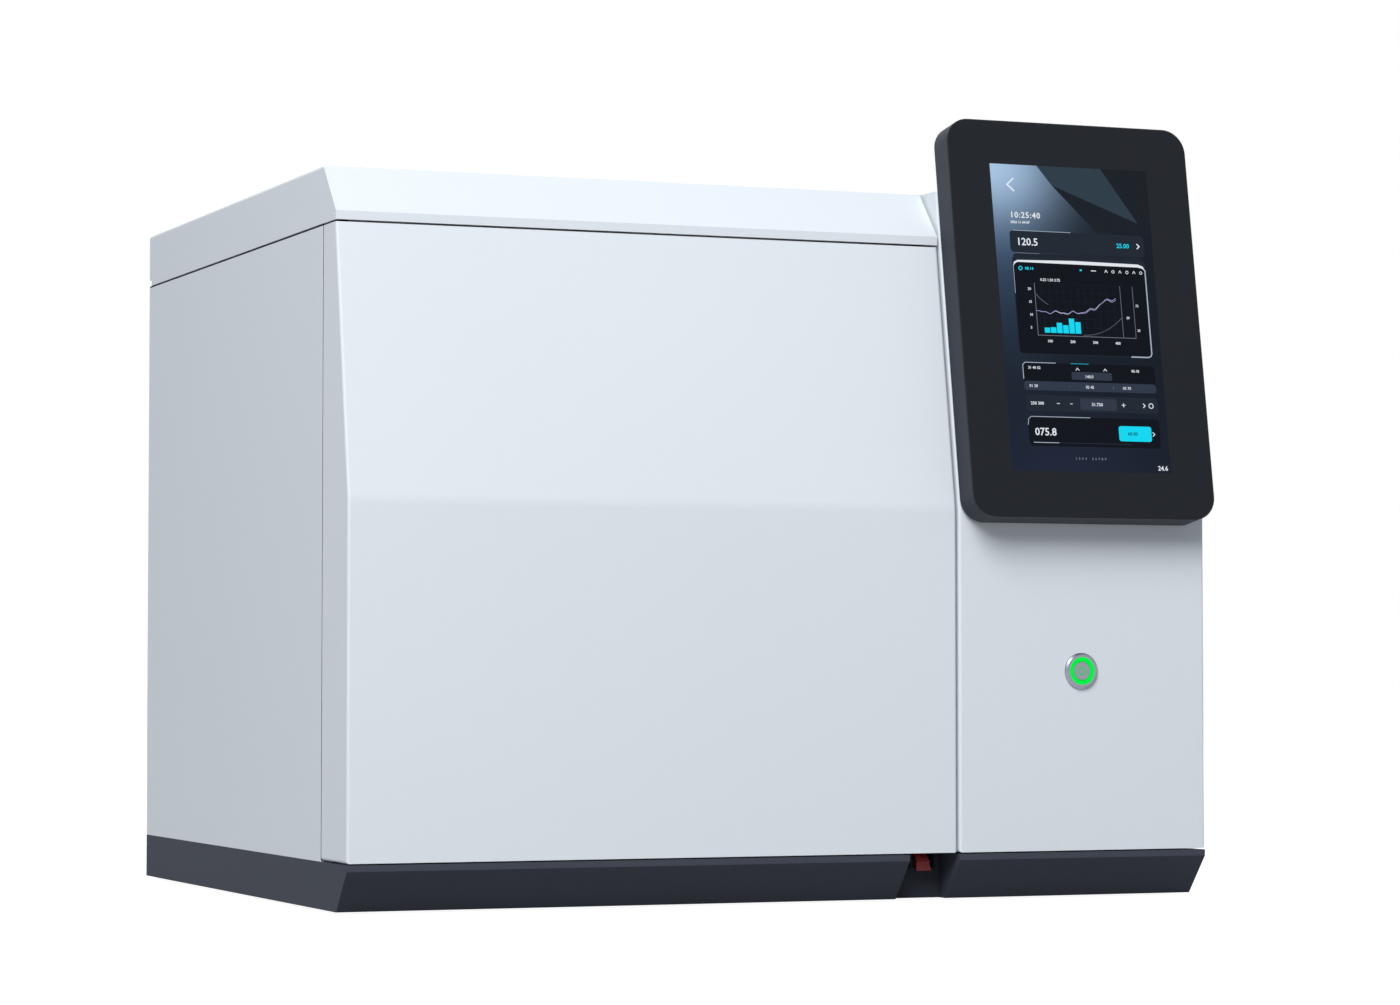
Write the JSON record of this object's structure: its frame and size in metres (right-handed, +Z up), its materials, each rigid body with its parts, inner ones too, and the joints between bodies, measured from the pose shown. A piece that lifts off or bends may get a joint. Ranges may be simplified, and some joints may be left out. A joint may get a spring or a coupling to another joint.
{
  "type": "gas chromatograph",
  "caption": "Benchtop gas chromatograph: pale cabinet with hinged oven door, lift-up top cover, dark plinth, and an electronics column carrying a tilted touch screen and a lit power button.",
  "frame": {"origin": "middle of the footprint, on the bench under the feet", "axes": "+X to the right along the widest side, +Y to the rear, +Z up; the door faces -Y"},
  "size_m": [0.6396, 0.5815, 0.5527],
  "materials": {
    "panel_paint": "fine powder coat, pale blue-grey white",
    "plinth_paint": "fine textured powder coat, dark grey",
    "inner_steel": "bare sheet steel",
    "oven_steel": "stainless steel, slightly heat tinted",
    "fibre": "woven ceramic fibre",
    "rubber": "matt rubber",
    "gasket": "braided glass fibre",
    "screen_glass": "gloss black cover glass over a lit display",
    "tablet_plastic": "satin dark grey moulding",
    "display": "lit display module",
    "button_steel": "satin stainless steel",
    "green_light": "lit green plastic",
    "black_plastic": "moulded black plastic",
    "red_plastic": "dark red moulding",
    "brass": "turned brass",
    "aluminium": "machined aluminium",
    "board_green": "circuit board",
    "capillary_brown": "coated fused silica",
    "zinc_steel": "zinc plated steel"
  },
  "bodies": {
    "cabinet": {"plinth": "plinth_paint", "feet": "rubber", "chassis_floor": "zinc_steel", "oven_rails": "zinc_steel", "side_panels": "panel_paint", "bulkhead": "zinc_steel", "column_front_panel": "panel_paint", "column_top_panel": "panel_paint", "oven_front_frame": "inner_steel", "oven_rear_panel": "panel_paint", "column_rear_panel": "panel_paint", "oven_liner": "oven_steel", "oven_insulation": "fibre", "oven_back_plate": "zinc_steel", "fan_baffle": "oven_steel", "heater_element": "oven_steel", "temperature_probe": "oven_steel", "column_cage": "oven_steel", "capillary_column": "capillary_brown", "fan_motor": "black_plastic", "vent_ducts": "zinc_steel", "flap_motor": "black_plastic", "top_deck": "inner_steel", "inlets": "inner_steel", "septum_nuts": "aluminium", "detectors": "inner_steel", "gas_manifold": "aluminium", "gas_fittings": "brass", "gas_tubes": "inner_steel", "cover_hinge_brackets": "zinc_steel", "door_hinge_pins": "zinc_steel", "latch_bracket": "zinc_steel", "tablet_housing": "tablet_plastic", "display_module": "display", "tablet_glass": "screen_glass", "button_body": "button_steel", "button_light_ring": "green_light", "button_contact_block": "black_plastic", "button_nut": "zinc_steel", "main_board": "board_green", "power_supply": "zinc_steel", "cooling_fan_frame": "black_plastic", "mains_inlet": "black_plastic", "rear_ports": "inner_steel", "panel_screws": "zinc_steel"},
    "oven_door": {"door_skin": "panel_paint", "door_inner_pan": "oven_steel", "door_insulation": "fibre", "door_gasket": "gasket", "door_hinge_blocks": "zinc_steel"},
    "top_cover": {"top_cover": "panel_paint", "cover_hinge_leaves": "zinc_steel"},
    "release_lever": {"release_lever": "red_plastic"},
    "power_button": {"button_cap": "button_steel"},
    "oven_fan": {"fan_wheel": "oven_steel", "fan_shaft": "inner_steel"},
    "vent_flaps": {"vent_flaps": "zinc_steel", "flap_shaft": "inner_steel"},
    "cooling_fan": {"cooling_fan_rotor": "black_plastic"},
    "mains_rocker": {"mains_rocker": "black_plastic"}
  },
  "joints": [
    {"name": "door_hinge", "type": "hinge", "parent": "cabinet", "child": "oven_door", "pos_m": [-0.31275, -0.22522, 0.2329], "axis": [0, 0, -1], "range_deg": [0, 105]},
    {"name": "cover_hinge", "type": "hinge", "parent": "cabinet", "child": "top_cover", "pos_m": [-0.09815, 0.25926, 0.47475], "axis": [-1, 0, 0], "range_deg": [0, 80]},
    {"name": "release_lever_pivot", "type": "hinge", "parent": "cabinet", "child": "release_lever", "pos_m": [0.10725, -0.23924, 0.0285], "axis": [-1, 0, 0], "range_deg": [0, 25], "stiffness_Nm_per_rad": 0.02, "springref_deg": -5.73},
    {"name": "power_button_press", "type": "slide", "parent": "cabinet", "child": "power_button", "axis": [0, 1, 0], "range_m": [0, 0.002], "stiffness_N_per_m": 900, "springref_m": -0.001},
    {"name": "oven_fan_spin", "type": "hinge", "parent": "cabinet", "child": "oven_fan", "pos_m": [-0.09815, 0.06756, 0.2329], "axis": [0, 1, 0], "continuous": true},
    {"name": "vent_flap_turn", "type": "hinge", "parent": "cabinet", "child": "vent_flaps", "pos_m": [0.00285, 0.16756, 0.3329], "axis": [1, 0, 0], "range_deg": [0, 85]},
    {"name": "cooling_fan_spin", "type": "hinge", "parent": "cabinet", "child": "cooling_fan", "pos_m": [0.2226, 0.25776, 0.302], "axis": [0, 1, 0], "continuous": true},
    {"name": "mains_rocker_tilt", "type": "hinge", "parent": "cabinet", "child": "mains_rocker", "pos_m": [0.27475, 0.26626, 0.098], "axis": [1, 0, 0], "range_deg": [0, 16]}
  ]
}
